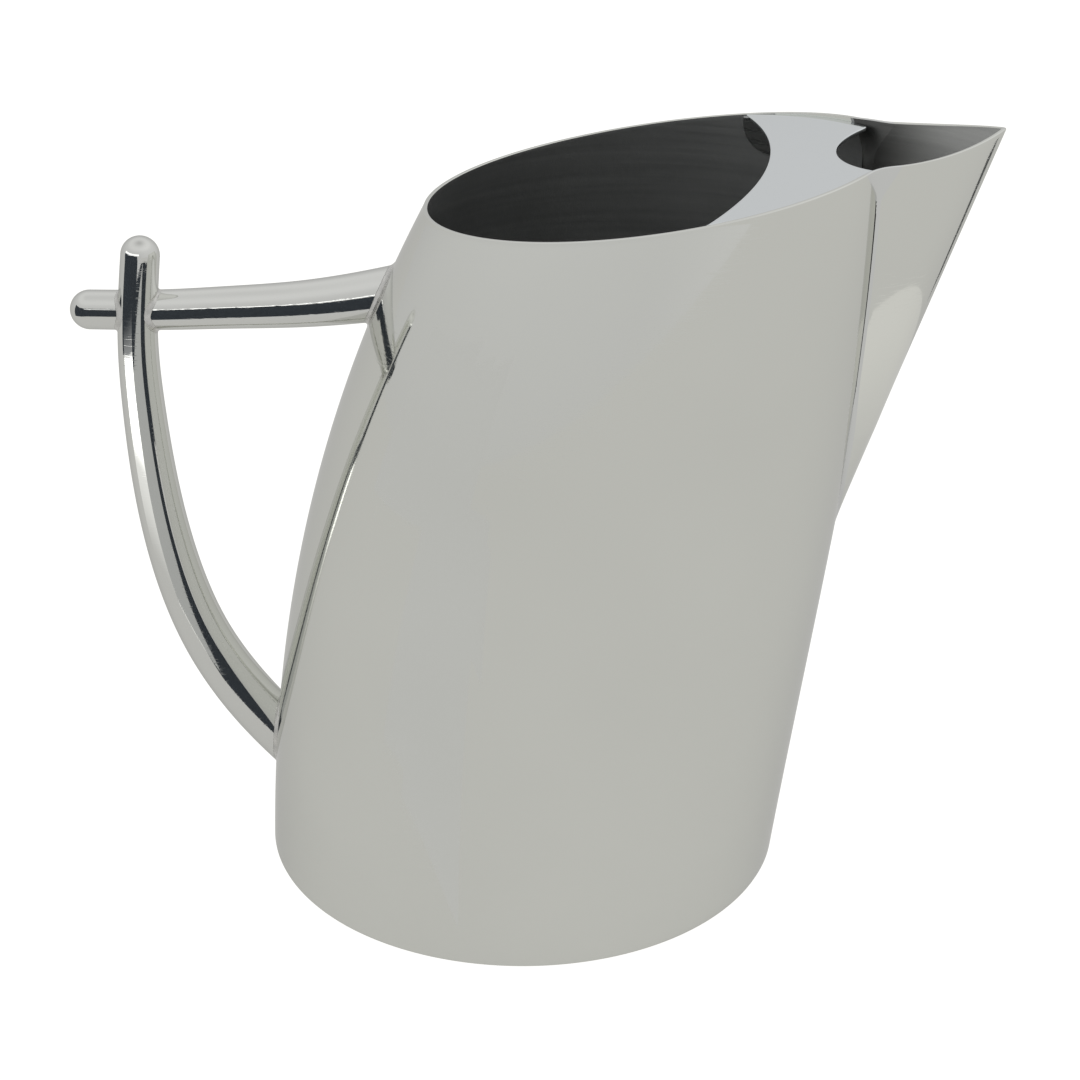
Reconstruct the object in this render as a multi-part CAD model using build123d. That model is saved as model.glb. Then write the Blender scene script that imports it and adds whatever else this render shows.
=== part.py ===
from build123d import *
import os
from math import atan2, cos, pi, sin, sqrt, tan

os.makedirs("parts", exist_ok=True)

# All lengths in mm. +X points to the spout, the handle is at -X, +Z is up.
# The origin is the middle of the base, on the table.

# Body: round sections whose middle shifts towards the spout as they rise.
wall = 1.0
base_radius = 65.0
floor_thickness = 1.2
section_heights = [0, 40, 80, 120, 160, 200]
rim_at_axis = 170.4
rim_slope = 0.147
rim_bend = 0.00024

# Spout: a folded sheet, ruled from a foot on the body's front to the tip.
foot_x, foot_z = 76.0, 91.7
tip_x, tip_z = 107.9, 187.7
mouth_half_width = 21.8
mouth_z = 183.0
spout_start_z = 91.0
spout_narrowing = 0.33
spout_turn = 0.42
spout_back_x = 60.0
spout_heights = [91.3, 94, 98, 104, 112, 122, 134, 148, 162, 175, 186, 197]
throat_heights = [102, 107, 113, 122, 134, 148, 162, 175, 186, 197]
nose_half_width = 1.0
spout_root = 4.0

# Ice guard: a plate with a hollow rear edge, cut a little askew, and a hollow front edge.
guard_thickness = 1.0
guard_z, guard_at_x, guard_slope = 177.8, 47.0, 0.145
guard_rear_x, guard_rear_y, guard_rear_radius = 56.0, 8.0, 130.0
guard_front_x, guard_front_radius = 70.8, 30.0
lug_x, lug_radius, lug_thickness = 57.0, 7.5, 1.0
spot_radius, spot_height = 2.4, 0.5

# Handle: two tapered round rods that cross behind the body and lap each other.
lap = 0.8
upper_path = [(-105.5, 137.0), (-85.5, 137.8), (-71.7, 138.9), (-53.7, 140.5), (-36.0, 143.3), (-26.0, 145.4)]
upper_radii = [4.8, 4.9, 5.1, 5.55, 6.2, 6.6]
lower_path = [
    (-91.6, 151.6),
    (-93.8, 130.0),
    (-93.6, 112.0),
    (-92.2, 93.0),
    (-88.6, 71.0),
    (-81.6, 50.0),
    (-73.8, 36.6),
    (-63.5, 24.0),
    (-56.0, 16.5),
]
lower_radii = [4.65, 4.85, 5.2, 5.6, 6.0, 6.4, 6.8, 7.1, 7.3]

# Weld beads: how far each one stands off the two pieces it joins.
rod_bead = 0.9
crossing_bead = 0.7
spout_bead = 0.6
base_bead = 1.8

reach = 150.0


def body_centre(z):
    """How far a section at height z is shifted towards the spout."""
    return 0.0771 * z + 0.00054 * z**2 + 4.9e-7 * z**3


def body_radius(z):
    """Outer radius of the section at height z."""
    return base_radius + 0.0348 * z - 0.000317 * z**2 - 1.9e-6 * z**3


def body_solid(growth=0.0):
    """The filled body, grown or shrunk sideways."""
    rings = [Pos(body_centre(z), 0, z) * Circle(body_radius(z) + growth) for z in section_heights]
    return loft(rings)


def rim_height(x):
    return rim_at_axis + rim_slope * x + rim_bend * x**2


def above(points):
    """Everything above a curve drawn in the XZ plane."""
    curve = Spline(*[(x, 0, z) for x, z in points])
    start, end = curve @ 0, curve @ 1
    top = 260.0
    sides = Polyline((end.X, 0, end.Z), (end.X, 0, top), (start.X, 0, top), (start.X, 0, start.Z))
    return extrude(make_face(curve + sides), amount=reach, dir=(0, 1, 0), both=True)


def above_body_rim():
    return above([(x, rim_height(x)) for x in (-120, -60, 0, 60, 120, 160)])


def lip_height(x):
    return 183.5 + 0.02 * (x - 80) + 0.0047 * (x - 80) ** 2


def above_spout_lip():
    return above([(x, lip_height(x)) for x in (76, 84, 92, 100, 108, 116)])


def spout_half_width(z):
    share = (z - spout_start_z) / (mouth_z - spout_start_z)
    return mouth_half_width * share**spout_narrowing


def spout_nose(z):
    return foot_x + (z - foot_z) * (tip_x - foot_x) / (tip_z - foot_z)


def turned(point, centre, angle):
    """A point carried round a centre by an angle in radians."""
    arm = point - centre
    carried = Vector(arm.X * cos(angle) - arm.Y * sin(angle), arm.X * sin(angle) + arm.Y * cos(angle))
    return centre + carried


def spout_section(z, inset, back):
    """A pointed arch at height z, rooted inside the body and closed by a straight back."""
    half = spout_half_width(z) - inset
    side = Vector(body_centre(z) + sqrt(body_radius(z) ** 2 - half**2), half)
    nose_x = spout_nose(z) - inset * 1.15
    lead = atan2(half, nose_x - side.X)
    turn = min(spout_turn, 0.9 * (pi / 2 - lead))
    end = Vector(nose_x - 0.46 * nose_half_width / tan(lead + turn), nose_half_width)
    chord = end - side
    arch_radius = chord.length / 2 / sin(turn)
    outward = Vector(-chord.Y, chord.X).normalized()
    centre = side + chord * 0.5 - outward * arch_radius * cos(turn)
    middle = centre + outward * arch_radius
    root = turned(side, centre, spout_root / arch_radius)
    outline = ThreePointArc(root, middle, end)
    outline += ThreePointArc(end, (nose_x, 0), (end.X, -end.Y))
    outline += ThreePointArc((end.X, -end.Y), (middle.X, -middle.Y), (root.X, -root.Y))
    outline += Polyline((root.X, -root.Y), (back, -root.Y), (back, root.Y), (root.X, root.Y))
    return Pos(0, 0, z) * make_face(outline)


def spout_solid(inset=0.0, heights=spout_heights):
    return loft([spout_section(z, inset, spout_back_x) for z in heights])


def rod(path, radii, offset, growth):
    """A tapered round rod, off centre at its free end and centred at the body."""
    last = len(path) - 1
    points = [Vector(x, offset * (1 - i / last), z) for i, (x, z) in enumerate(path)]
    line = Spline(*points)
    rings = []
    for point, radius in zip(points, radii):
        along = line % line.param_at_point(point)
        rings.append(Plane(origin=point, x_dir=(0, 1, 0), z_dir=along) * Circle(radius + growth))
    return loft(rings)


def dome(path, radii, offset):
    """The round end of a rod."""
    return Pos(path[0][0], offset, path[0][1]) * Sphere(radii[0])


def upper_rod(growth=0.0):
    return rod(upper_path, upper_radii, lap, growth)


def lower_rod(growth=0.0):
    return rod(lower_path, lower_radii, -lap, growth)


def guard_plane(x):
    return guard_z + guard_slope * (x - guard_at_x)


def guard_slab(top_drop, bottom_drop):
    """The slanting slab between two depths below the guard's top plane."""
    left, right = 20.0, 120.0
    corners = [
        (left, guard_plane(left) - top_drop),
        (right, guard_plane(right) - top_drop),
        (right, guard_plane(right) - bottom_drop),
        (left, guard_plane(left) - bottom_drop),
    ]
    outline = Polyline(*[(x, 0, z) for x, z in corners], close=True)
    return extrude(make_face(outline), amount=reach, dir=(0, 1, 0), both=True)


def guard_plate(inside):
    """The plate between its two hollow edges, filling the body across."""
    plate = inside & guard_slab(0, guard_thickness)
    rear = Pos(guard_rear_x - guard_rear_radius, guard_rear_y, 180) * Cylinder(guard_rear_radius, 80)
    front = Pos(guard_front_x + guard_front_radius, 0, 180) * Cylinder(guard_front_radius, 80)
    return plate - rear - front


def guard_lug(inside, side):
    """A round-ended lug bent down from the plate against the inner wall."""
    skin = inside - body_solid(-wall - lug_thickness)
    disc = Pos(lug_x, side * 40, guard_plane(lug_x) - 3) * Rot(90, 0, 0) * Cylinder(lug_radius, 40)
    return (skin & disc) - guard_slab(-40, 0)


def spot_weld(side):
    """A small flattened bead standing on the lug's inner face."""
    z = guard_plane(lug_x) - 5
    face = body_solid(-wall - lug_thickness)
    radius = body_radius(z) - wall - lug_thickness
    y = sqrt(radius**2 - (lug_x - body_centre(z)) ** 2)
    deep = spot_radius**2 / (2 * spot_height)
    outward = Vector(lug_x - body_centre(z), side * y, 0).normalized()
    middle = Vector(lug_x, side * y, z) + outward * (deep - spot_height)
    return (Pos(*middle) * Sphere(deep)) & face


def largest(shape):
    """The main solid, without the slivers a trim can leave."""
    return max(shape.solids(), key=lambda solid: solid.volume)


def seam_bead(grown_piece, growth):
    """The strip that lies outside the body but close to both it and a piece."""
    return (grown_piece - body) & body_solid(growth)


def save(solid, name):
    export_step(solid, f"parts/{name}.step")


body = body_solid()
inside = body_solid(-wall)
rim_cut = above_body_rim()
lip_cut = above_spout_lip()
spout_outer = spout_solid()
spout_inner = spout_solid(wall, throat_heights)
upper = upper_rod() + dome(upper_path, upper_radii, lap)
lower = lower_rod() + dome(lower_path, lower_radii, -lap)

floor = Pos(0, 0, floor_thickness / 2) * Box(2 * reach, 2 * reach, floor_thickness)
bead_zone = Pos(0, 0, floor_thickness + base_bead / 2) * Box(2 * reach, 2 * reach, base_bead)

save(body - inside - rim_cut - spout_inner, "body_shell")
save(inside & floor, "base_plate")
save((inside & bead_zone) - body_solid(-wall - base_bead), "base_seam_weld")
save(largest(spout_outer - body - spout_inner - lip_cut), "spout")
spout_strip = seam_bead(spout_solid(-spout_bead), spout_bead)
save(largest(spout_strip - spout_outer - rim_cut - lip_cut), "spout_seam_weld")

save(guard_plate(inside) + guard_lug(inside, 1) + guard_lug(inside, -1), "ice_guard")
save(spot_weld(1), "guard_spot_weld_left")
save(spot_weld(-1), "guard_spot_weld_right")

save(upper - body - lower, "handle_upper_rod")
save(lower - body, "handle_lower_rod")
save(largest(seam_bead(upper_rod(rod_bead), rod_bead) - upper), "upper_rod_weld")
save(largest(seam_bead(lower_rod(rod_bead), rod_bead) - lower), "lower_rod_weld")
crossing_strip = upper_rod(crossing_bead) & lower_rod(crossing_bead)
save(largest(crossing_strip - upper - lower), "crossing_weld")
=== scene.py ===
"""Water pitcher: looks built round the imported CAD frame. Lengths in the tables below are millimetres."""

import math

import bmesh
import bpy
import numpy as np
from mathutils import Matrix, Vector


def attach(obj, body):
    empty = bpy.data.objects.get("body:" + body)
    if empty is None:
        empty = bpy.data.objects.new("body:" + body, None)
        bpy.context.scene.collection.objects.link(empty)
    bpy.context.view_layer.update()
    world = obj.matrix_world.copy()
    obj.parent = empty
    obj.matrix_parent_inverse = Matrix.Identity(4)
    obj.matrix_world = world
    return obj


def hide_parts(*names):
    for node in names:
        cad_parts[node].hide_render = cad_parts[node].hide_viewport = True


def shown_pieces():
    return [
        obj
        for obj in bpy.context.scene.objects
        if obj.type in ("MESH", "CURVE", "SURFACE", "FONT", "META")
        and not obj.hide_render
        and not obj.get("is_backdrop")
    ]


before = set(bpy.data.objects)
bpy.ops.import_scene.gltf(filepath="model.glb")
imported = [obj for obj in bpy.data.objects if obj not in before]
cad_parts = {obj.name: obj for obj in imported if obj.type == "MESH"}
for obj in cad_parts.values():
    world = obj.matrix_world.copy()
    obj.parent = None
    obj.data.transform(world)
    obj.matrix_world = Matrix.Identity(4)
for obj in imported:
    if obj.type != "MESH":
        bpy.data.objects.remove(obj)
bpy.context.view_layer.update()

MM = 0.001

# ---------------------------------------------------------------- camera
CAMERA_AZIMUTH = 5.6
CAMERA_ELEVATION = 24.69
CAMERA_ROLL = 0.32
CAMERA_DISTANCE = 520.1
CAMERA_TARGET = (4.16, 0.0, 81.6)
CAMERA_LENS = 69.96


def make_camera():
    azimuth, elevation = math.radians(CAMERA_AZIMUTH), math.radians(CAMERA_ELEVATION)
    back = Vector((
        math.sin(azimuth) * math.cos(elevation),
        -math.cos(azimuth) * math.cos(elevation),
        math.sin(elevation),
    ))
    data = bpy.data.cameras.new("camera")
    data.lens = CAMERA_LENS
    data.sensor_width = 36.0
    data.clip_start = 0.02
    camera = bpy.data.objects.new("camera", data)
    bpy.context.scene.collection.objects.link(camera)
    camera.rotation_mode = "QUATERNION"
    camera.location = (Vector(CAMERA_TARGET) + back * CAMERA_DISTANCE) * MM
    turn = Matrix.Rotation(math.radians(CAMERA_ROLL), 4, "Z").to_quaternion()
    camera.rotation_quaternion = (-back).to_track_quat("-Z", "Y") @ turn
    bpy.context.scene.camera = camera


# ---------------------------------------------------------------- shape of the pitcher
WALL = 1.0
FLOOR = 1.2
FOOT_X, FOOT_Z = 76.0, 91.7
TIP_X, TIP_Z = 107.9, 187.7
MOUTH_HALF_WIDTH, MOUTH_Z = 21.8, 183.0
SPOUT_START_Z = 91.0
SPOUT_NARROWING = 0.33
SPOUT_TURN = 0.42
NOSE_HALF_WIDTH = 1.0


def centre(z):
    return 0.0771 * z + 0.00054 * z**2 + 4.9e-7 * z**3


def radius(z):
    return 65.0 + 0.0348 * z - 0.000317 * z**2 - 1.9e-6 * z**3


def rim_height(x):
    return 170.4 + 0.147 * x + 0.00024 * x**2


def lip_height(x):
    return 183.5 + 0.02 * (x - 80) + 0.0047 * (x - 80) ** 2


def smooth(low, high, value):
    t = min(max((value - low) / (high - low), 0.0), 1.0)
    return t * t * (3 - 2 * t)


def half_width(z):
    share = max((z - SPOUT_START_Z) / (MOUTH_Z - SPOUT_START_Z), 0.0)
    return MOUTH_HALF_WIDTH * share**SPOUT_NARROWING


def seam_width(z):
    """How far the seam's fillet reaches over the body and over the spout."""
    wide = 1.6 - 0.8 * smooth(116, 134, z) + 4.6 * smooth(175, 185, z)
    return min(wide, 0.45 * half_width(z))


def groove_depth(z):
    """How far the middle of the seam is drawn in where it is a sharp crease."""
    return 0.9 * smooth(120, 134, z) * (1 - smooth(173, 178, z))


def body_point(z, half, inset=0.0):
    """A point of the body's front at height z and distance half from the middle plane."""
    r = radius(z) - inset
    return np.array([centre(z) + math.sqrt(r * r - half * half), half, z])


class SpoutSection:
    """Half of the spout's pointed arch at one height, from the crease to the nose."""

    def __init__(self, z, inset):
        half = half_width(z) - inset
        self.z = z
        self.side = np.array([centre(z) + math.sqrt(radius(z) ** 2 - half**2), half])
        nose_x = FOOT_X + (z - FOOT_Z) * (TIP_X - FOOT_X) / (TIP_Z - FOOT_Z) - inset * 1.15
        nose_x = max(nose_x, self.side[0] + 0.05)
        lead = math.atan2(half, nose_x - self.side[0])
        turn = min(SPOUT_TURN, 0.9 * (math.pi / 2 - lead))
        nose_half = min(NOSE_HALF_WIDTH, 0.3 * half)
        self.nose = np.array([nose_x, 0.0])
        self.end = np.array([nose_x - 0.46 * nose_half / math.tan(lead + turn), nose_half])
        chord = self.end - self.side
        length = np.linalg.norm(chord)
        self.turn = turn
        self.arch = length / 2 / math.sin(turn)
        outward = np.array([-chord[1], chord[0]]) / length
        self.hub = self.side + chord / 2 - outward * self.arch * math.cos(turn)
        self.arc_length = 2 * turn * self.arch

    def on_arc(self, distance):
        """The point at a distance along the arch from the crease."""
        angle = -distance / self.arch
        arm = self.side - self.hub
        c, s = math.cos(angle), math.sin(angle)
        x, y = self.hub + np.array([arm[0] * c - arm[1] * s, arm[0] * s + arm[1] * c])
        return np.array([x, y, self.z])

    def on_nose(self, share):
        """The rounded front edge, from the arch's end at 0 to the middle plane at 1."""
        x = self.nose[0] - (self.nose[0] - self.end[0]) * (1 - share) ** 2
        return np.array([x, self.end[1] * (1 - share), self.z])


def solve_height(place, ceiling):
    """The height at which a strand of the wall meets a curve drawn in the XZ plane."""
    z = 180.0
    for _ in range(40):
        z = 0.4 * z + 0.6 * ceiling(place(z)[0])
    return z


# ---------------------------------------------------------------- meshes
def make_object(name, verts, faces, materials, face_slots=None, weld=1e-7):
    mesh = bpy.data.meshes.new(name)
    mesh.from_pydata([tuple(v) for v in verts], [], faces)
    for material in materials:
        mesh.materials.append(material)
    if face_slots is not None:
        mesh.polygons.foreach_set("material_index", face_slots)
    if weld:
        bm = bmesh.new()
        bm.from_mesh(mesh)
        bmesh.ops.remove_doubles(bm, verts=bm.verts, dist=weld)
        bmesh.ops.dissolve_degenerate(bm, edges=bm.edges, dist=weld)
        bmesh.ops.recalc_face_normals(bm, faces=bm.faces)
        bm.to_mesh(mesh)
        bm.free()
    mesh.polygons.foreach_set("use_smooth", [True] * len(mesh.polygons))
    mesh.update()
    obj = bpy.data.objects.new(name, mesh)
    bpy.context.scene.collection.objects.link(obj)
    return obj


def grid_faces(rows, columns, wrap_rows=False, wrap_columns=False, start=0):
    faces = []
    for i in range(rows if wrap_rows else rows - 1):
        for j in range(columns if wrap_columns else columns - 1):
            a = i * columns + j
            b = i * columns + (j + 1) % columns
            c = ((i + 1) % rows) * columns + (j + 1) % columns
            d = ((i + 1) % rows) * columns + j
            faces.append((start + a, start + b, start + c, start + d))
    return faces


def strands_object(name, strands, materials, slot_of_row, wrap=False, ring=False):
    """A mesh from strands: lists of points of one length, side by side."""
    grid = np.array(strands) * MM
    columns, rows = grid.shape[0], grid.shape[1]
    verts = grid.transpose(1, 0, 2).reshape(-1, 3)
    faces = grid_faces(rows, columns, wrap_rows=wrap, wrap_columns=ring)
    across = columns if ring else columns - 1
    slots = [slot_of_row(i // across) for i in range(len(faces))]
    return make_object(name, verts, faces, materials, slots)


LIP_RISE = 0.3
LIP_STEPS = 14
BASE_EDGE = 1.2
BASE_EDGE_STEPS = 6
LOWER_ROWS, UPPER_ROWS = 60, 150
BODY_COLUMNS, SPOUT_COLUMNS, NOSE_COLUMNS = 400, 70, 8
CROWDING = 1.7
SPOUT_BOTTOM = 91.05
LOWER_HEIGHTS = [BASE_EDGE + (SPOUT_START_Z - BASE_EDGE) * k / LOWER_ROWS for k in range(LOWER_ROWS)]
LEVELS = [(k / UPPER_ROWS) ** CROWDING for k in range(UPPER_ROWS + 1)]


def rounded_lip(outer, inner):
    """The points that turn over the edge: a nearly flat top with small round corners."""
    middle, arm = (outer + inner) / 2, (outer - inner) / 2
    lift = np.array([0.0, 0.0, LIP_RISE])
    points = []
    for k in range(1, LIP_STEPS):
        c, s = math.cos(math.pi * k / LIP_STEPS), math.sin(math.pi * k / LIP_STEPS)
        points.append(middle + arm * math.copysign(abs(c) ** 0.6, c) + lift * s**0.6)
    return points


def wall_strand(place, ceiling, start_z, bottom=(), below=()):
    """One strand: up the outside, over the lip and down the inside. place(z, inset) gives a point.
    The rows above start_z lie closest together just above it, where the spout opens fast."""
    top = solve_height(lambda z: place(z, 0.0), ceiling) - LIP_RISE
    heights = list(below) + [start_z + (top - start_z) * t for t in LEVELS]
    outside = [place(z, 0.0) for z in heights]
    inside = [place(z, WALL) for z in reversed(heights)]
    return list(bottom) + outside + rounded_lip(outside[-1], inside[0]) + inside


# ---------------------------------------------------------------- body, seam and spout
def body_strand(u):
    """The wall at a share u of the way round, from the near side of the spout to the far side."""

    def place(z, inset):
        r = radius(z) - inset
        edge = half_width(z) + seam_width(z) if z > SPOUT_START_Z else 0.0
        start = math.asin(min(edge / r, 1.0))
        angle = -start - u * (2 * math.pi - 2 * start)
        return np.array([centre(z) + r * math.cos(angle), r * math.sin(angle), z])

    def low(z_share, turn):
        r = radius(0) - BASE_EDGE * (1 - turn)
        angle = -u * 2 * math.pi
        return np.array([r * math.cos(angle), r * math.sin(angle), BASE_EDGE * (1 - z_share)])

    quarter = [math.pi / 2 * k / BASE_EDGE_STEPS for k in range(BASE_EDGE_STEPS + 1)]
    bottom = [low(math.cos(a), math.sin(a)) for a in quarter[:-1]]
    return wall_strand(place, rim_height, SPOUT_START_Z, bottom, LOWER_HEIGHTS)


def build_body(outside, inside):
    strands = [body_strand(k / BODY_COLUMNS) for k in range(BODY_COLUMNS + 1)]
    outer_rows = BASE_EDGE_STEPS + len(LOWER_HEIGHTS) + len(LEVELS) + LIP_STEPS - 1
    wall = strands_object(
        "body_wall", strands, [outside, inside], lambda row: 0 if row < outer_rows else 1
    )
    polish_above_guard(wall)
    set_wall_normals(wall)
    return wall


def polish_above_guard(wall):
    """The inside is polished too where it stands above the ice guard."""
    for face in wall.data.polygons:
        x, _, z = face.center / MM
        if REAR_X - 4 < x < 75 and z > guard_plane(x) - 0.4:
            face.material_index = 0


def set_wall_normals(wall):
    """Gives the wall the exact normals of its smooth shape, so that it mirrors cleanly."""
    normals = []
    for vertex in wall.data.vertices:
        x, y, z = vertex.co / MM
        arm = math.hypot(x - centre(z), y)
        off_sheet = min(abs(arm - radius(z)), abs(arm - radius(z) + WALL))
        if BASE_EDGE < z < rim_height(x) - 0.6 and off_sheet < 0.001:
            step = 0.01
            lean = (body_distance((x, y, z + step)) - body_distance((x, y, z - step))) / (2 * step)
            out = Vector(((x - centre(z)) / arm, y / arm, lean)).normalized()
            normals.append(out if abs(arm - radius(z)) < 0.01 else -out)
        else:
            normals.append(vertex.normal.copy())
    wall.data.normals_split_custom_set_from_vertices(normals)


def spout_strand(side, part, share):
    """A strand of the spout: side is -1 near or 1 far, part is arc or nose."""

    def place(z, inset):
        section = SpoutSection(z, inset)
        if part == "nose":
            x, y, z = section.on_nose(share)
        else:
            reach = min(seam_width(z), 0.45 * section.arc_length)
            x, y, z = section.on_arc(reach + (section.arc_length - reach) * share)
        return np.array([x, side * y, z])

    return wall_strand(place, lip_height, SPOUT_BOTTOM)


def build_spout(outside, inside):
    shares = [1 - (1 - k / SPOUT_COLUMNS) ** CROWDING for k in range(SPOUT_COLUMNS + 1)]
    strands = [spout_strand(-1, "arc", share) for share in shares[:-1]]
    strands += [spout_strand(-1, "nose", k / NOSE_COLUMNS) for k in range(NOSE_COLUMNS)]
    strands += [spout_strand(1, "nose", k / NOSE_COLUMNS) for k in range(NOSE_COLUMNS, 0, -1)]
    strands += [spout_strand(1, "arc", share) for share in reversed(shares)]
    outer_rows = len(LEVELS) + LIP_STEPS - 1
    return strands_object(
        "spout_sheet", strands, [outside, inside], lambda row: 0 if row < outer_rows else 1
    )


def seam_strand(side, share):
    """A strand of the polished seam between the body at 0 and the spout at 1."""

    def place(z, inset):
        half = half_width(z)
        width = seam_width(z)
        start = body_point(z, half + width, inset)
        corner = body_point(z, half - 0.3 * groove_depth(z), inset * 0.5 + groove_depth(z))
        section = SpoutSection(z, inset)
        reach = min(width, 0.45 * section.arc_length)
        end = section.on_arc(reach)
        point = start * (1 - share) ** 2 + corner * 2 * share * (1 - share) + end * share**2
        return np.array([point[0], side * point[1], z])

    def ceiling(x):
        blend = smooth(0, 1, share)
        return rim_height(x) * (1 - blend) + lip_height(x) * blend

    return wall_strand(place, ceiling, SPOUT_BOTTOM)


def build_seam(side, name, outside, inside, crease_shade_material):
    strands = [seam_strand(side, k / 20) for k in range(21)]
    outer_rows = len(LEVELS) + LIP_STEPS - 1
    seam = strands_object(name, strands, [outside, inside, crease_shade_material], lambda row: 0 if row < outer_rows else 1)
    paint_shade_into_crease(seam, side)
    return seam


def paint_shade_into_crease(seam, side):
    """Painted shade: faces at the bottom of the sharp crease get a near-black material that stands in for the
    shade in the groove.
    """
    for face in seam.data.polygons:
        x, y, z = face.center / MM
        depth = radius(z) - math.hypot(x - centre(z), y)
        if face.material_index == 0 and 0.1 < depth < 0.1 + 2 * groove_depth(z) and 118 < z < 177:
            # Painted shade: the crease's bottom faces take the near-black slot.
            face.material_index = 2


def build_base(material):
    """The floor disc: a flat top, a flat underside and a rounded edge."""
    r = radius(0) - WALL - 0.15
    profile = [(0.0, FLOOR)]
    profile += [(r * k / 24, FLOOR) for k in range(1, 24)]
    profile += [(r - 0.3, FLOOR), (r, FLOOR - 0.3), (r, 0.45), (r - 0.4, 0.08), (r - 1.2, 0.0)]
    profile += [(r * k / 24, 0.0) for k in range(22, 0, -1)] + [(0.0, 0.0)]
    return lathe("base_disc", profile, 160, material)


def lathe(name, profile, steps, material, place=Matrix.Identity(4)):
    strands = []
    for k in range(steps):
        angle = 2 * math.pi * k / steps
        strands.append([
            tuple(place @ Vector((r * math.cos(angle), r * math.sin(angle), z))) for r, z in profile
        ])
    grid = np.array(strands) * MM
    rows = grid.shape[1]
    verts = grid.reshape(-1, 3)
    faces = grid_faces(steps, rows, wrap_rows=True)
    return make_object(name, verts, faces, [material])


def build_base_seam(material):
    """The hollow fillet round the inside of the base."""
    leg = 1.8
    strands = []
    for k in range(240):
        angle = 2 * math.pi * k / 240
        aim = np.array([math.cos(angle), math.sin(angle), 0.0])
        points = []
        for j in range(9):
            t = j / 8
            z = FLOOR + leg * t * t
            r = radius(z) - WALL - leg * (1 - t) ** 2
            points.append(aim * r + np.array([centre(z), 0, z]))
        points.append(aim * (radius(FLOOR) - WALL) + np.array([centre(FLOOR), 0, FLOOR]))
        strands.append(points)
    grid = np.array(strands) * MM
    faces = grid_faces(240, 10, wrap_rows=True, wrap_columns=True)
    return make_object("base_inner_bead", grid.reshape(-1, 3), faces, [material])


# ---------------------------------------------------------------- ice guard
GUARD_Z, GUARD_AT_X, GUARD_SLOPE, GUARD_THICKNESS = 177.8, 47.0, 0.145, 1.0
REAR_X, REAR_Y, REAR_RADIUS = 56.0, 8.0, 130.0
FRONT_X, FRONT_RADIUS = 70.8, 30.0
GUARD_GAP = 0.4
LUG_X, LUG_RADIUS, LUG_THICKNESS = 57.0, 7.5, 1.0


def guard_plane(x):
    return GUARD_Z + GUARD_SLOPE * (x - GUARD_AT_X)


def wall_inside_x(y, drop=0.0):
    """Where the guard's plane meets the inner wall, at a distance y from the middle plane."""
    x = 60.0
    for _ in range(60):
        z = guard_plane(x) - drop
        r = radius(z) - WALL
        x = 0.5 * x + 0.5 * (centre(z) + math.sqrt(max(r * r - y * y, 0.0)))
    return x


def guard_rear(y):
    """The hollow rear edge, cut a little askew."""
    return REAR_X - REAR_RADIUS + math.sqrt(REAR_RADIUS**2 - (y - REAR_Y) ** 2)


def guard_reach(side):
    """How far from the middle plane the rear edge meets the wall on one side."""
    low, high = 38.0, 54.0
    for _ in range(50):
        y = (low + high) / 2
        rear = guard_rear(side * y)
        z = guard_plane(rear)
        inside = math.hypot(rear + GUARD_GAP - centre(z), y) < radius(z) - WALL
        low, high = (y, high) if inside else (low, y)
    return low


def guard_edges(y):
    rear = guard_rear(y)
    front = wall_inside_x(y) - GUARD_GAP
    if abs(y) < FRONT_RADIUS:
        front = min(front, FRONT_X + FRONT_RADIUS - math.sqrt(FRONT_RADIUS**2 - y * y))
    return rear, max(front, rear + 0.02)


def build_guard(material):
    near, far = guard_reach(-1), guard_reach(1)
    rows = [(far - near) / 2 + (far + near) / 2 * math.sin(math.pi / 2 * k / 70) for k in range(-70, 71)]
    edge = 0.32
    strands = []
    for y in rows:
        rear, front = guard_edges(y)
        span = front - rear
        bevel = min(edge, span / 3)
        inner = [rear + bevel + (span - 2 * bevel) * k / 24 for k in range(25)]
        turn = [math.pi / 2 * k / 4 for k in range(5)]
        points = [(x, 0.0) for x in inner]
        points += [(front - bevel + bevel * math.sin(a), bevel * (math.cos(a) - 1)) for a in turn[1:]]
        points += [
            (front - bevel + bevel * math.cos(a), -GUARD_THICKNESS + bevel * (1 - math.sin(a)))
            for a in turn
        ]
        points += [(x, -GUARD_THICKNESS) for x in reversed(inner[:-1])]
        points += [
            (rear + bevel - bevel * math.sin(a), -GUARD_THICKNESS + bevel * (1 - math.cos(a)))
            for a in turn[1:]
        ]
        points += [(rear + bevel - bevel * math.cos(a), bevel * (math.sin(a) - 1)) for a in turn[:-1]]
        strands.append([np.array([x, y, guard_plane(x) + dz]) for x, dz in points])
    grid = np.array(strands) * MM
    faces = grid_faces(grid.shape[0], grid.shape[1], wrap_columns=True)
    return make_object("ice_guard_plate", grid.reshape(-1, 3), faces, [material])


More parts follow.
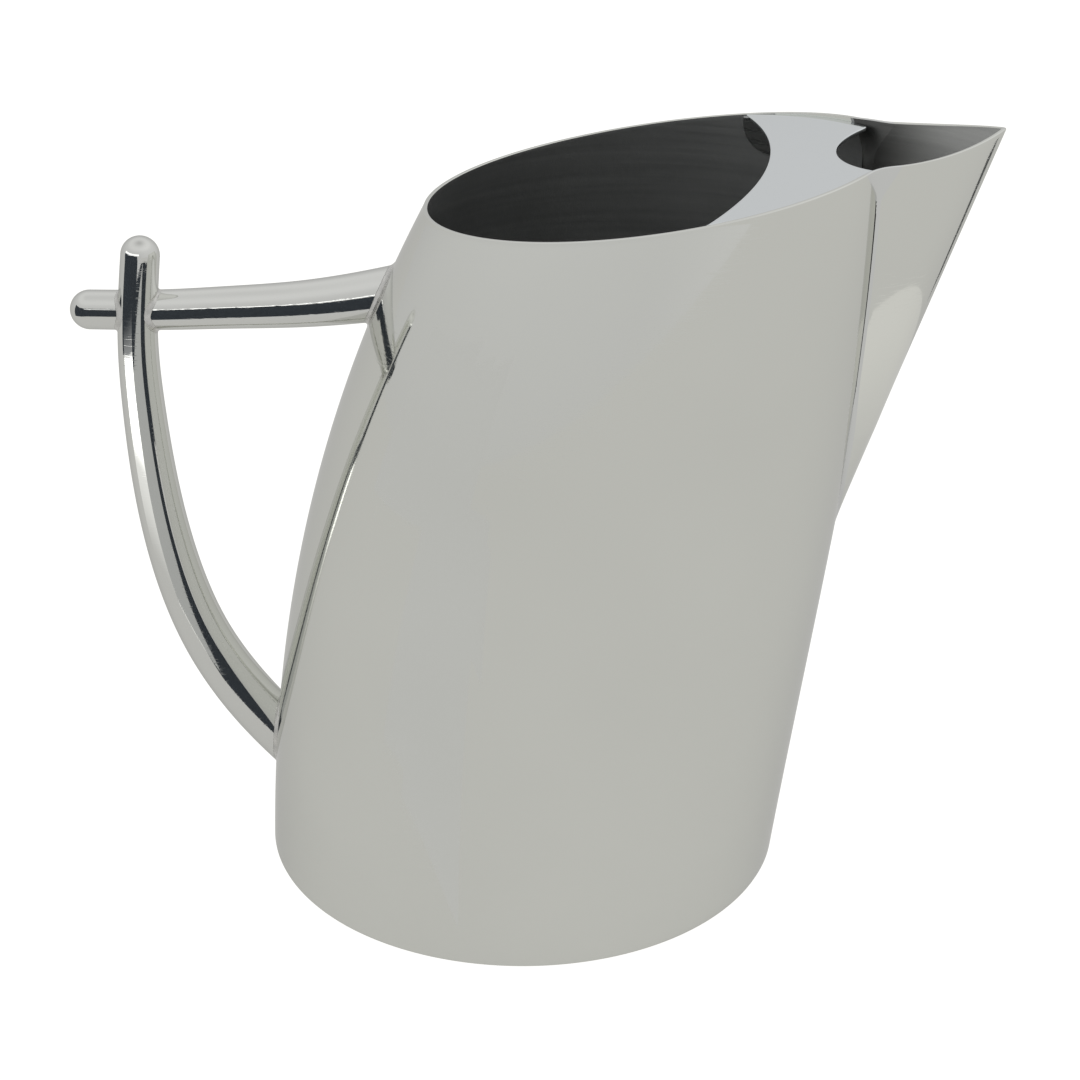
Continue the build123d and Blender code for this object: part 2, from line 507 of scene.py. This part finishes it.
def build_lug(side, name, material):
    """A round-ended lug that hangs from the plate against the inner wall."""
    middle_z = guard_plane(LUG_X) - 3
    columns = [LUG_X + LUG_RADIUS * math.sin(math.pi / 2 * k / 16) for k in range(-16, 17)]
    strands = []
    for x in columns:
        low = middle_z - math.sqrt(max(LUG_RADIUS**2 - (x - LUG_X) ** 2, 0.0))
        high = guard_plane(x) - 0.4
        heights = [low + (high - low) * k / 14 for k in range(15)]

        def face(z, depth):
            r = radius(z) - WALL - 0.02 - depth
            return np.array([x, side * math.sqrt(r * r - (x - centre(z)) ** 2), z])

        edge = 0.3
        back = [face(z, 0.0) for z in heights]
        front = [face(z, LUG_THICKNESS) for z in reversed(heights[1:])]
        round_edge = [
            face(low + edge * (1 - math.cos(a)), LUG_THICKNESS * (0.5 + 0.5 * math.sin(a)))
            for a in (1.2, 0.6, 0.0, -0.6, -1.2)
        ]
        strands.append(back + front + round_edge)
    grid = np.array(strands) * MM
    faces = grid_faces(grid.shape[0], grid.shape[1], wrap_columns=True)
    first = tuple(range(grid.shape[1]))
    last = tuple(range((grid.shape[0] - 1) * grid.shape[1], grid.shape[0] * grid.shape[1]))
    return make_object(name, grid.reshape(-1, 3), faces + [first, last], [material])


def build_spot(side, name, material):
    """A dimpled spot weld on the lug's inner face."""
    z = guard_plane(LUG_X) - 5
    r = radius(z) - WALL - LUG_THICKNESS - 0.02
    y = math.sqrt(r * r - (LUG_X - centre(z)) ** 2)
    aim = Vector((centre(z) - LUG_X, -side * y, 0)).normalized()
    place = Matrix.Translation((LUG_X, side * y, z)) @ aim.to_track_quat("Z", "Y").to_matrix().to_4x4()
    profile = [
        (0, 0.12), (0.5, 0.13), (0.9, 0.2), (1.25, 0.36), (1.6, 0.4), (1.95, 0.28), (2.2, 0.08), (2.3, -0.15),
    ]
    return lathe(name, profile, 40, material, place)


# ---------------------------------------------------------------- handle rods
UPPER_PATH = [(-105.5, 137.0), (-85.5, 137.8), (-71.7, 138.9), (-53.7, 140.5), (-36.0, 143.3), (-26.0, 145.4)]
UPPER_RADII = [4.8, 4.9, 5.1, 5.55, 6.2, 6.6]
LOWER_PATH = [
    (-91.6, 151.6), (-93.8, 130.0), (-93.6, 112.0), (-92.2, 93.0), (-88.6, 71.0),
    (-81.6, 50.0), (-73.8, 36.6), (-63.5, 24.0), (-56.0, 16.5),
]
LOWER_RADII = [4.65, 4.85, 5.2, 5.6, 6.0, 6.4, 6.8, 7.1, 7.3]
LAP = 0.8


def cubic_table(knots, values):
    """Second derivatives of the natural cubic spline through values at knots."""
    n = len(knots)
    matrix, right = np.eye(n), np.zeros((n, values.shape[1]))
    for i in range(1, n - 1):
        before, after = knots[i] - knots[i - 1], knots[i + 1] - knots[i]
        matrix[i, i - 1 : i + 2] = before / 6, (before + after) / 3, after / 6
        right[i] = (values[i + 1] - values[i]) / after - (values[i] - values[i - 1]) / before
    return np.linalg.solve(matrix, right)


class Rod:
    """A tapered round rod along a smooth centre line, off centre at its free end."""

    def __init__(self, path, radii, offset):
        last = len(path) - 1
        points = np.array([(x, offset * (1 - i / last), z) for i, (x, z) in enumerate(path)])
        steps = np.linalg.norm(np.diff(points, axis=0), axis=1)
        self.knots = np.concatenate([[0.0], np.cumsum(steps)])
        self.values = np.column_stack([points, radii])
        self.bend = cubic_table(self.knots, self.values)
        self.length = self.knots[-1]
        self.samples = np.linspace(0, self.length, 600)
        self.line = np.array([self.at(s) for s in self.samples])

    def at(self, s):
        """Centre and radius at a distance s from the free end."""
        i = int(np.clip(np.searchsorted(self.knots, s) - 1, 0, len(self.knots) - 2))
        low, high = self.knots[i], self.knots[i + 1]
        span = high - low
        a, b = (high - s) / span, (s - low) / span
        curve = ((a**3 - a) * self.bend[i] + (b**3 - b) * self.bend[i + 1]) * span**2 / 6
        return a * self.values[i] + b * self.values[i + 1] + curve

    def frame(self, s):
        """Centre, radius, direction and the two directions across at s."""
        here = self.at(s)
        along = self.at(min(s + 0.5, self.length))[:3] - self.at(max(s - 0.5, 0.0))[:3]
        along /= np.linalg.norm(along)
        across = np.cross(along, (0.0, 1.0, 0.0))
        across /= np.linalg.norm(across)
        return here[:3], here[3], along, across, np.cross(across, along)

    def on_surface(self, s, angle, growth=0.0):
        middle, r, _, across, side = self.frame(s)
        return middle + (r + growth) * (across * math.cos(angle) + side * math.sin(angle))

    def distance(self, point):
        """How far a point is outside the rod."""
        gaps = np.linalg.norm(self.line[:, :3] - point, axis=1)
        i = int(np.clip(np.argmin(gaps), 1, len(gaps) - 2))
        a, b = self.line[i - 1], self.line[i + 1]
        share = np.dot(point - a[:3], b[:3] - a[:3]) / np.dot(b[:3] - a[:3], b[:3] - a[:3])
        near = a + (b - a) * share
        return np.linalg.norm(point - near[:3]) - near[3]


def body_distance(point):
    """How far a point is outside the body."""
    x, y, z = point
    return math.hypot(x - centre(z), y) - radius(z)


def where_rod_meets_body(rod, angle):
    """The distance along the rod at which its strand at this angle enters the body."""
    low, high = 0.3 * rod.length, rod.length
    for _ in range(40):
        s = (low + high) / 2
        low, high = (s, high) if body_distance(rod.on_surface(s, angle)) > 0 else (low, s)
    return low


ROD_COLUMNS = 96


def build_rod(rod, name, material):
    """The rod from its domed end to the body's surface."""
    middle, r, along, across, side = rod.frame(0.0)
    strands = []
    for k in range(ROD_COLUMNS):
        angle = 2 * math.pi * k / ROD_COLUMNS
        arm = across * math.cos(angle) + side * math.sin(angle)
        turns = [math.pi / 2 * j / 14 for j in range(14)]
        dome = [middle - along * r * math.cos(a) + arm * r * math.sin(a) for a in turns]
        end = where_rod_meets_body(rod, angle)
        shaft = [rod.on_surface(end * j / 220, angle) for j in range(221)]
        strands.append(dome + shaft)
    return strands_object(name, strands, [material], lambda row: 0, ring=True)


# ---------------------------------------------------------------- weld beads
def normal_of(distance, point):
    step = 0.01
    slope = [
        distance(point + step * axis) - distance(point - step * axis)
        for axis in np.eye(3)
    ]
    return np.array(slope) / np.linalg.norm(slope)


def settle(distance, point):
    """The nearest point on the surface."""
    for _ in range(3):
        point = point - distance(point) * normal_of(distance, point)
    return point


def build_bead(name, corner, first, second, width, material, seed):
    """A hollow, slightly uneven bead along a closed corner line between two surfaces."""
    rng = np.random.default_rng(seed)
    count = len(corner)
    turns = np.linspace(0, 2 * math.pi, count, endpoint=False)
    wave = sum(math.pow(k, -0.7) * np.sin(k * turns + rng.uniform(0, 6.28)) for k in (3, 5, 8, 13, 21, 34))
    strands = []
    for k, point in enumerate(corner):
        a, b = normal_of(first, point), normal_of(second, point)
        on_first = b - np.dot(a, b) * a
        on_second = a - np.dot(a, b) * b
        reach = width * (1 + 0.07 * wave[k])
        start = settle(first, point + on_first / np.linalg.norm(on_first) * reach)
        end = settle(second, point + on_second / np.linalg.norm(on_second) * reach)
        knee = point + (a + b) * 0.06 * width
        face = [
            start * (1 - t) ** 2 + knee * 2 * t * (1 - t) + end * t * t
            for t in (j / 12 for j in range(13))
        ]
        root = point - (a + b) * 0.15 * width
        strands.append(face + [root])
    return strands_object(name, strands, [material], lambda row: 0, wrap=True, ring=True)


def rod_corner(rod):
    """The line on which a rod meets the body."""
    points = []
    for k in range(160):
        angle = 2 * math.pi * k / 160
        points.append(rod.on_surface(where_rod_meets_body(rod, angle), angle))
    return points


def crossing_corner(upper, lower):
    """The closed line on which the two crossed rods meet, followed round the crossing."""
    hub = np.array([-93.4, 0.0, 137.5])
    guess = np.array([3.3, -4.2])
    points = []
    for k in range(200):
        angle = math.pi + 2 * math.pi * k / 200
        aim = np.array([math.cos(angle), 0.0, math.sin(angle)])

        def gap(value):
            point = hub + aim * value[0] + np.array([0.0, value[1], 0.0])
            return np.array([upper.distance(point), lower.distance(point)])

        for _ in range(12):
            here = gap(guess)
            slope = np.column_stack([(gap(guess + d) - here) / 0.01 for d in np.eye(2) * 0.01])
            step = np.linalg.lstsq(slope, -here, rcond=0.02)[0]
            guess = guess + np.clip(step, -0.8, 0.8)
        points.append(hub + aim * guess[0] + np.array([0.0, guess[1], 0.0]))
    return points


# ---------------------------------------------------------------- materials
class Nodes:
    """A short way to build a material's node tree."""

    def __init__(self, name):
        self.material = bpy.data.materials.new(name)
        self.material.use_nodes = True
        self.tree = self.material.node_tree
        self.shader = self.tree.nodes["Principled BSDF"]
        self.position = self.tree.nodes.new("ShaderNodeTexCoord").outputs["Object"]

    def link(self, a, b):
        self.tree.links.new(a, b)

    def stretched(self, scale, turn=(0, 0, 0)):
        node = self.tree.nodes.new("ShaderNodeMapping")
        node.inputs["Scale"].default_value = scale
        node.inputs["Rotation"].default_value = turn
        self.link(self.position, node.inputs["Vector"])
        return node.outputs["Vector"]

    def noise(self, scale, detail=3.0, roughness=0.5, vector=None):
        node = self.tree.nodes.new("ShaderNodeTexNoise")
        node.inputs["Scale"].default_value = scale
        node.inputs["Detail"].default_value = detail
        node.inputs["Roughness"].default_value = roughness
        self.link(vector or self.position, node.inputs["Vector"])
        return node.outputs["Fac"]

    def scaled(self, colour, share):
        node = self.tree.nodes.new("ShaderNodeVectorMath")
        node.operation = "SCALE"
        self.link(colour, node.inputs[0])
        self.link(share, node.inputs["Scale"])
        return node.outputs["Vector"]

    def along_x(self):
        node = self.tree.nodes.new("ShaderNodeSeparateXYZ")
        self.link(self.position, node.inputs["Vector"])
        return node.outputs["X"]

    def ranged(self, value, low, high, from_low=0.3, from_high=0.7, curve="LINEAR"):
        node = self.tree.nodes.new("ShaderNodeMapRange")
        node.interpolation_type = curve
        slots = ("From Min", "From Max", "To Min", "To Max")
        for slot, number in zip(slots, (from_low, from_high, low, high)):
            node.inputs[slot].default_value = number
        self.link(value, node.inputs["Value"])
        return node.outputs["Result"]

    def math(self, operation, a, b):
        node = self.tree.nodes.new("ShaderNodeMath")
        node.operation = operation
        for slot, value in zip(node.inputs, (a, b)):
            if isinstance(value, (int, float)):
                slot.default_value = value
            else:
                self.link(value, slot)
        return node.outputs["Value"]

    def tinted(self, value, low, high, from_low=0.3, from_high=0.7):
        node = self.tree.nodes.new("ShaderNodeMix")
        node.data_type = "RGBA"
        node.inputs[6].default_value = (*low, 1)
        node.inputs[7].default_value = (*high, 1)
        self.link(self.ranged(value, 0, 1, from_low, from_high), node.inputs[0])
        return node.outputs[2]

    def bump(self, value, distance, strength=1.0, under=None):
        node = self.tree.nodes.new("ShaderNodeBump")
        node.inputs["Distance"].default_value = distance
        node.inputs["Strength"].default_value = strength
        self.link(value, node.inputs["Height"])
        if under is not None:
            self.link(under, node.inputs["Normal"])
        return node.outputs["Normal"]

    def fine_scratches(self):
        """Hairlines left by wiping, in three directions."""
        lines = None
        for turn, scale in (((0.3, 0.2, 0.5), 90), ((1.1, 0.6, 2.0), 120), ((0.1, 1.4, 1.2), 150)):
            streak = self.noise(scale, 2.0, 0.6, self.stretched((1, 1, 26), turn))
            line = self.ranged(streak, 0, 1, 0.62, 0.72)
            lines = line if lines is None else self.math("ADD", lines, line)
        return lines

    def finish(self, colour, roughness, normal, metallic=1.0, edge=1.0):
        self.shader.inputs["Metallic"].default_value = metallic
        self.shader.inputs["Specular Tint"].default_value = (edge, edge, edge, 1)
        self.link(colour, self.shader.inputs["Base Color"])
        self.link(roughness, self.shader.inputs["Roughness"])
        self.link(normal, self.shader.inputs["Normal"])
        return self.material


def polished(name, low, high, rough_low, rough_high, wave, edge=0.62):
    """Polished steel: a soft waviness, smudges in the gloss, faint clouds and faint hairlines."""
    n = Nodes(name)
    smudge = n.noise(24, 5.0, 0.6)
    hair = n.fine_scratches()
    rough = n.math("ADD", n.ranged(smudge, rough_low, rough_high), n.math("MULTIPLY", hair, 0.02))
    waves = n.bump(n.noise(16, 1.5, 0.4), wave)
    normal = n.bump(hair, 0.000004, 0.5, waves)
    return n.finish(n.tinted(n.noise(11, 3.0), low, high), rough, normal, edge=edge)


def satin(name, low, high, rough_low, rough_high, metallic, shade=None):
    """The duller inside: spun rings and a grey haze. shade is the brightness at two places in x,
    in mm, between which a painted shade darkens the sheet towards the body."""
    n = Nodes(name)
    rings = n.noise(14, 4.0, 0.6, n.stretched((1.2, 1.2, 55)))
    haze = n.noise(30, 4.0, 0.6)
    mixed = n.math("ADD", n.math("MULTIPLY", rings, 0.65), n.math("MULTIPLY", haze, 0.35))
    normal = n.bump(rings, 0.00005, 0.6)
    colour = n.tinted(mixed, low, high)
    # Painted shade: the colour is scaled from full brightness at x_high down to dull at x_low.
    if shade:
        (x_low, dull), (x_high, full) = shade
        colour = n.scaled(colour, n.ranged(n.along_x(), dull, full, x_low * MM, x_high * MM, "SMOOTHSTEP"))
    return n.finish(colour, n.ranged(mixed, rough_low, rough_high), normal, metallic)


def weld(name, low, high):
    """A buffed weld: small ripples, pits and duller patches."""
    n = Nodes(name)
    ripple = n.noise(520, 3.0, 0.55)
    pits = n.noise(1500, 2.0, 0.5)
    normal = n.bump(pits, 0.00002, 0.5, n.bump(ripple, 0.00012, 0.6))
    return n.finish(n.tinted(ripple, low, high), n.ranged(pits, 0.16, 0.34), normal)


# ---------------------------------------------------------------- studio
MIRRORED = 0.56
SHOWN = 1.1
FLOOR_GLOW = 0.8
SPOUT_SIDE = 1.1
SKY = [(0.0, 1.0), (0.5, 1.1), (0.8, 1.25), (0.92, 1.15), (1.0, 0.9)]


def camera_or_mirror(tree, mirrored, shown):
    """A strength that is one value in reflections and another for the camera."""
    path = tree.nodes.new("ShaderNodeLightPath")
    mix = tree.nodes.new("ShaderNodeMix")
    mix.inputs[3].default_value = shown
    if isinstance(mirrored, (int, float)):
        mix.inputs[2].default_value = mirrored
    else:
        tree.links.new(mirrored, mix.inputs[2])
    tree.links.new(path.outputs["Is Camera Ray"], mix.inputs[0])
    return mix.outputs[0]


def make_world():
    """White all round, a little brighter high up and on the spout's side. SKY holds pairs of the
    sine of the elevation and the brightness."""
    world = bpy.data.worlds.new("studio_white")
    bpy.context.scene.world = world
    world.use_nodes = True
    tree = world.node_tree
    tree.nodes.clear()
    place = tree.nodes.new("ShaderNodeTexCoord")
    split = tree.nodes.new("ShaderNodeSeparateXYZ")
    tree.links.new(place.outputs["Generated"], split.inputs["Vector"])
    ramp = tree.nodes.new("ShaderNodeFloatCurve")
    curve = ramp.mapping.curves[0]
    curve.points[0].location, curve.points[1].location = (0.0, SKY[0][1] / 2), (1.0, SKY[-1][1] / 2)
    for x, y in SKY[1:-1]:
        curve.points.new(x, y / 2)
    ramp.mapping.update()
    tree.links.new(split.outputs["Z"], ramp.inputs["Value"])
    side = tree.nodes.new("ShaderNodeMapRange")
    side.interpolation_type = "SMOOTHSTEP"
    side.inputs["To Min"].default_value = 2 * MIRRORED
    side.inputs["To Max"].default_value = 2 * MIRRORED * SPOUT_SIDE
    tree.links.new(split.outputs["X"], side.inputs["Value"])
    scale = tree.nodes.new("ShaderNodeMath")
    scale.operation = "MULTIPLY"
    tree.links.new(ramp.outputs["Value"], scale.inputs[0])
    tree.links.new(side.outputs["Result"], scale.inputs[1])
    back = tree.nodes.new("ShaderNodeBackground")
    back.inputs["Color"].default_value = (1, 1, 1, 1)
    tree.links.new(camera_or_mirror(tree, scale.outputs["Value"], SHOWN), back.inputs["Strength"])
    out = tree.nodes.new("ShaderNodeOutputWorld")
    tree.links.new(back.outputs["Background"], out.inputs["Surface"])


def make_floor():
    """A matt white floor as bright as the horizon that it runs into, lit in part from below."""
    heights = np.linspace(0, 1, 400)
    sky = 2 * np.trapz(np.interp(heights, *zip(*SKY)) * heights, heights)
    grey = (1 - FLOOR_GLOW) / sky
    material = bpy.data.materials.new("floor_white")
    material.use_nodes = True
    material.cycles.emission_sampling = "NONE"
    tree = material.node_tree
    shader = tree.nodes["Principled BSDF"]
    shader.inputs["Base Color"].default_value = (grey, 0.995 * grey, 0.975 * grey, 1)
    shader.inputs["Roughness"].default_value = 1.0
    shader.inputs["Specular IOR Level"].default_value = 0.0
    shader.inputs["Emission Color"].default_value = (1, 0.995, 0.975, 1)
    glow = FLOOR_GLOW * MIRRORED
    tree.links.new(camera_or_mirror(tree, glow, glow + SHOWN - MIRRORED), shader.inputs["Emission Strength"])
    half, drop = 6.0, -0.0002
    corners = [(-half, -half, drop), (half, -half, drop), (half, half, drop), (-half, half, drop)]
    floor = make_object("studio_floor", corners, [(0, 1, 2, 3)], [material], weld=0)
    floor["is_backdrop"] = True


def card_material(name, surface, glow, fade=None):
    """A studio card: dark or clear itself, with a glow that only its linked pieces receive.
    Glows are shares of the white round them, and may rise between two heights in mm."""
    material = bpy.data.materials.new(name)
    material.use_nodes = True
    material.cycles.emission_sampling = "NONE"
    tree = material.node_tree
    tree.nodes.clear()
    base = tree.nodes.new("ShaderNodeBsdfTransparent" if surface is None else "ShaderNodeBsdfDiffuse")
    base.inputs["Color"].default_value = (1, 1, 1, 1) if surface is None else (*surface, 1)
    light = tree.nodes.new("ShaderNodeEmission")
    light.inputs["Color"].default_value = (*glow, 1)
    light.inputs["Strength"].default_value = MIRRORED
    if fade:
        split = tree.nodes.new("ShaderNodeSeparateXYZ")
        tree.links.new(tree.nodes.new("ShaderNodeTexCoord").outputs["Object"], split.inputs["Vector"])
        ramp = tree.nodes.new("ShaderNodeMapRange")
        ramp.interpolation_type = "SMOOTHSTEP"
        ramp.inputs["From Min"].default_value = fade[0] * MM
        ramp.inputs["From Max"].default_value = fade[1] * MM
        ramp.inputs["To Max"].default_value = MIRRORED
        tree.links.new(split.outputs["Z"], ramp.inputs["Value"])
        tree.links.new(ramp.outputs["Result"], light.inputs["Strength"])
    both = tree.nodes.new("ShaderNodeAddShader")
    tree.links.new(base.outputs["BSDF"], both.inputs[0])
    tree.links.new(light.outputs["Emission"], both.inputs[1])
    out = tree.nodes.new("ShaderNodeOutputMaterial")
    tree.links.new(both.outputs["Shader"], out.inputs["Surface"])
    return material


def arc_card(name, axis_x, distance, lower_edge, upper_edge, material, receivers):
    """A curved card round a vertical axis. Its edges are (turn, height) pairs: the turn in degrees
    from -Y towards +X, the height in mm."""
    first, last = lower_edge[0][0], lower_edge[-1][0]
    steps = max(24, int(abs(last - first)))
    verts, faces = [], []
    for k in range(steps + 1):
        turn = first + (last - first) * k / steps
        angle = math.radians(turn)
        for edge in (lower_edge, upper_edge):
            z = float(np.interp(turn, *zip(*edge)))
            x, y = axis_x + distance * math.sin(angle), -distance * math.cos(angle)
            verts.append((x * MM, y * MM, z * MM))
    for k in range(steps):
        faces.append((2 * k, 2 * k + 2, 2 * k + 3, 2 * k + 1))
    card = make_object(name, verts, faces, [material], weld=0)
    for kind in ("camera", "diffuse", "transmission", "volume_scatter", "shadow"):
        setattr(card, f"visible_{kind}", False)
    group = bpy.data.collections.new(name + "_receivers")
    for piece in receivers:
        group.objects.link(piece)
    card.light_linking.receiver_collection = group
    card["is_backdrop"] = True


HANDLE_X, HANDLE_CARDS = -92.0, 110.0
SPOUT_X, SPOUT_CARDS = 90.0, 120.0
CARD_GREY = (0.065, 0.075, 0.09)
CARD_GLOW = tuple(1 - grey for grey in CARD_GREY)


def level_card(name, axis_x, distance, turns, heights, material, receivers):
    """An arc card with level edges, between two turns in degrees and two heights in mm."""
    low, high = [[(turn, z) for turn in turns] for z in heights]
    arc_card(name, axis_x, distance, low, high, material, receivers)


def make_handle_cards(upper, lower):
    """Dark and bright cards that only the handle's rods mirror. Other pieces see plain white there."""
    others = [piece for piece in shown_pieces() if piece not in (upper, lower)]
    seen_by = {"upper": others + [lower], "lower": others + [upper], "both": others}
    dark = card_material("card_dark", CARD_GREY, CARD_GLOW)
    panels = [
        ("both", (-80, -20), (95, 175)),
        ("both", (-20, 0), (45, 165)),
        ("lower", (-20, 0), (10, 45)),
        ("lower", (0, 20), (-15, 45)),
        ("both", (0, 20), (45, 110)),
        ("upper", (0, 20), (110, 160)),
        ("lower", (20, 45), (-15, 110)),
        ("lower", (45, 55), (75, 105)),
    ]
    for k, (who, turns, heights) in enumerate(panels):
        level_card(f"studio_dark_{k}", HANDLE_X, HANDLE_CARDS, turns, heights, dark, seen_by[who])
    near = HANDLE_CARDS - 4
    bright = card_material("card_bright", None, (1.9, 1.9, 1.9))
    streak = card_material("card_streak", None, (2.0, 2.0, 2.0), (55, 70))
    haze = card_material("card_haze", None, (0.6, 0.6, 0.6), (10, 60))
    veil = card_material("card_veil", None, (0.5, 0.5, 0.5), (110, 95))
    glint = card_material("card_glint", None, (1.3, 1.3, 1.3))
    dim = card_material("card_dim", None, (0.7, 0.7, 0.68))
    cards = [
        ("studio_band", upper, 0, (-30, 20), (165, 185), bright),
        ("studio_streak", lower, 0, (-70, -20), (50, 95), streak),
        ("studio_haze", lower, 1, (-70, -20), (10, 95), haze),
        ("studio_veil", lower, 2, (-70, -20), (95, 110), veil),
        ("studio_dome_edge", lower, 0, (-80, 10), (170, 190), glint),
    ]
    for name, rod, inset, turns, heights, material in cards:
        level_card(name, HANDLE_X, near - inset, turns, heights, material, [rod])
    bottom, top = [(-20, 10), (5, 10), (30, 50)], [(-20, 90), (30, 110)]
    arc_card("studio_dim", HANDLE_X, near, bottom, top, dim, [lower])


def make_spout_cards(spout):
    """What only the spout mirrors: a lighter lower field and a grey slanting strip."""
    others = [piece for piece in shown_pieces() if piece != spout]
    field = card_material("card_field", None, (0.2, 0.195, 0.185), (10, 75))
    level_card("studio_field", SPOUT_X, SPOUT_CARDS - 4, (50, 175), (10, 85), field, [spout])
    dark = card_material("card_grey", (0.16, 0.165, 0.17), (0.84, 0.835, 0.83))
    bottom, top = [(125, 130), (145, 90)], [(125, 140), (145, 100)]
    arc_card("studio_strip", SPOUT_X, SPOUT_CARDS, bottom, top, dark, others)


# ---------------------------------------------------------------- assembly
def place_piece(piece, node):
    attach(piece, "root")
    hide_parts(node)


def build_pitcher():
    steel = polished("steel_polished", (0.825, 0.832, 0.787), (0.867, 0.875, 0.83), 0.03, 0.06, 0.00008, 0.85)
    bright = polished("steel_guard", (0.9, 0.94, 0.955), (0.93, 0.97, 0.985), 0.05, 0.09, 0.00005, 0.95)
    rod_steel = polished("steel_rods", (0.8, 0.805, 0.775), (0.84, 0.845, 0.815), 0.02, 0.04, 0.00002, 0.8)
    inside = satin("steel_inside", (0.36, 0.37, 0.37), (0.44, 0.45, 0.445), 0.45, 0.58, 0.8)
    # Painted shade in the spout's throat and on the seams' inner faces: darker towards the body, down to 0.22
    # at x = 76 mm.
    shade = ((76, 0.22), (98, 1.0))
    throat = satin("steel_spout_inside_painted_shade", (0.4, 0.405, 0.395), (0.5, 0.505, 0.49), 0.28, 0.4, 0.95, shade)
    lug_steel = satin("steel_lug", (0.46, 0.47, 0.47), (0.56, 0.57, 0.565), 0.24, 0.34, 0.95)
    # Near-black material painted into the seam's crease as shade.
    crease_shade_material = satin("steel_crease_painted_shade", (0.03, 0.03, 0.03), (0.07, 0.065, 0.06), 0.5, 0.6, 0.6)
    bead = weld("steel_weld", (0.6, 0.6, 0.58), (0.8, 0.79, 0.76))
    seam = polished("steel_seam", (0.8, 0.81, 0.8), (0.86, 0.87, 0.86), 0.05, 0.09, 0.00005, 0.85)

    place_piece(build_body(steel, inside), "body_shell")
    spout = build_spout(steel, throat)
    place_piece(spout, "spout")
    for side, name in ((-1, "spout_seam_right"), (1, "spout_seam_left")):
        place_piece(build_seam(side, name, seam, throat, crease_shade_material), "spout_seam_weld")
    place_piece(build_base(steel), "base_plate")
    place_piece(build_base_seam(bead), "base_seam_weld")

    guard = build_guard(bright)
    lugs = [build_lug(-1, "guard_lug_right", lug_steel), build_lug(1, "guard_lug_left", lug_steel)]
    for piece in [guard] + lugs:
        place_piece(piece, "ice_guard")
    for side, word in ((-1, "right"), (1, "left")):
        place_piece(build_spot(side, f"spot_weld_{word}", bead), f"guard_spot_weld_{word}")

    upper, lower = Rod(UPPER_PATH, UPPER_RADII, LAP), Rod(LOWER_PATH, LOWER_RADII, -LAP)
    rods = [build_rod(upper, "upper_rod", rod_steel), build_rod(lower, "lower_rod", rod_steel)]
    place_piece(rods[0], "handle_upper_rod")
    place_piece(rods[1], "handle_lower_rod")
    crossing = crossing_corner(upper, lower)
    beads = [
        ("upper_rod_bead", rod_corner(upper), upper.distance, body_distance, 1.2, "upper_rod_weld"),
        ("lower_rod_bead", rod_corner(lower), lower.distance, body_distance, 1.2, "lower_rod_weld"),
        ("crossing_bead", crossing, upper.distance, lower.distance, 0.9, "crossing_weld"),
    ]
    for seed, (name, corner, first, second, width, node) in enumerate(beads):
        place_piece(build_bead(name, corner, first, second, width, bead, seed), node)
    return rods, spout


rods, spout = build_pitcher()
make_world()
make_floor()
make_handle_cards(*rods)
make_spout_cards(spout)
make_camera()
bpy.context.scene.view_settings.view_transform = "Standard"
